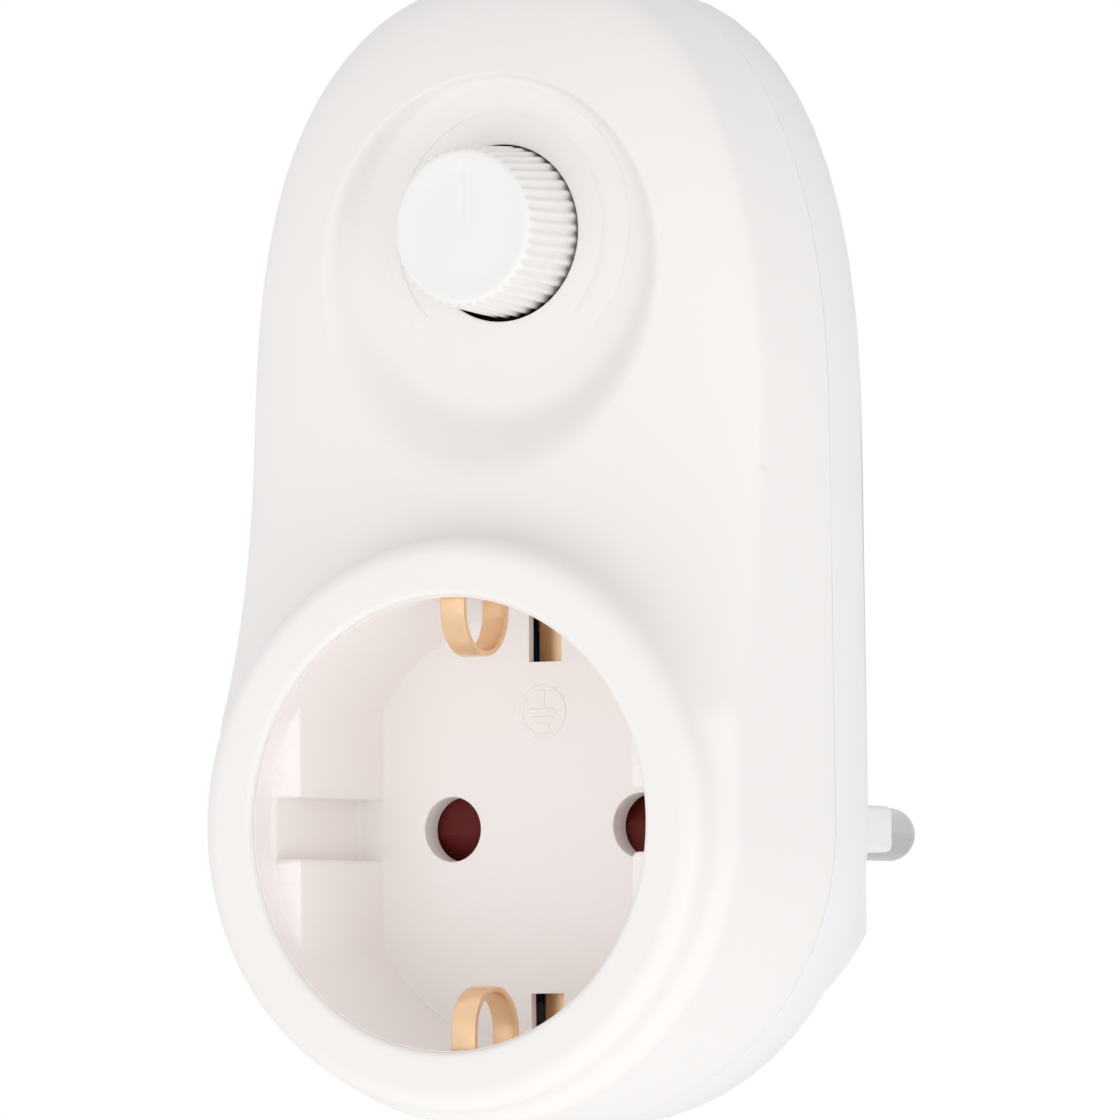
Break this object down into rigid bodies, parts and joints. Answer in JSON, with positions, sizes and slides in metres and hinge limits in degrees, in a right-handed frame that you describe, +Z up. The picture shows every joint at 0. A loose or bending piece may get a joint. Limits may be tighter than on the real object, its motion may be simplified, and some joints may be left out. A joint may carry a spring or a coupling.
{
  "type": "plug-in rotary dimmer",
  "caption": "Plug-in dimmer with a rotary knob above an earthed round through socket, a shuttered pair of pin holes and a round plug on the back.",
  "frame": {"origin": "centre of the plug's end face, midway between its pins", "axes": "+Y out of the plug along its pins, the front faces -Y, +Z up, from the socket to the knob"},
  "size_m": [0.0518, 0.065, 0.1001],
  "materials": {
    "cover": "fine satin white moulded plastic",
    "cup": "warm white moulded plastic",
    "knob": "satin white moulded plastic",
    "shutter": "dark red moulded plastic",
    "carrier": "dark moulded plastic",
    "brass": "rolled brass strip",
    "pin": "nickel plated brass",
    "steel": "zinc plated steel",
    "shaft": "natural nylon",
    "control": "blue moulded plastic",
    "board": "paper laminate",
    "black": "black moulded resin",
    "sink": "plain sheet",
    "copper": "enamelled copper wire",
    "capacitor": "yellow moulded plastic",
    "glass": "clear tube",
    "ceramic": "lacquered ceramic",
    "lead_brown": "insulated lead",
    "lead_black": "insulated lead",
    "lead_blue": "insulated lead"
  },
  "bodies": {
    "housing": {"front_cover": "cover", "rear_cover": "cover", "socket_cup": "cup", "shutter_spring": "steel", "shutter_clip": "steel", "contact_carrier": "carrier", "live_contact": "brass", "neutral_contact": "brass", "earth_clip_upper": "brass", "earth_clip_lower": "brass", "plug_earth_upper": "brass", "plug_earth_lower": "brass", "plug_pin_live": "pin", "plug_pin_neutral": "pin", "control_body": "control", "circuit_board": "board", "triac": "black", "heat_sink": "sink", "choke_core": "black", "choke_winding": "copper", "film_capacitor": "capacitor", "fuse_tube": "glass", "fuse_caps": "steel", "fuse_clips": "brass", "resistors": "ceramic", "trigger_diode": "ceramic", "live_lead": "lead_brown", "switched_lead": "lead_black", "neutral_lead": "lead_blue", "housing_screws": "steel"},
    "knob": {"knob": "knob", "control_shaft": "shaft"},
    "shutter": {"shutter": "shutter"}
  },
  "joints": [
    {"name": "knob_turn", "type": "hinge", "parent": "housing", "child": "knob", "pos_m": [0, -0.0393, 0.0516], "axis": [0, -1, 0], "range_deg": [-135, 135]},
    {"name": "shutter_turn", "type": "hinge", "parent": "housing", "child": "shutter", "pos_m": [0, -0.025, 0], "axis": [0, 1, 0], "range_deg": [0, 40], "stiffness_Nm_per_rad": 0.01}
  ]
}
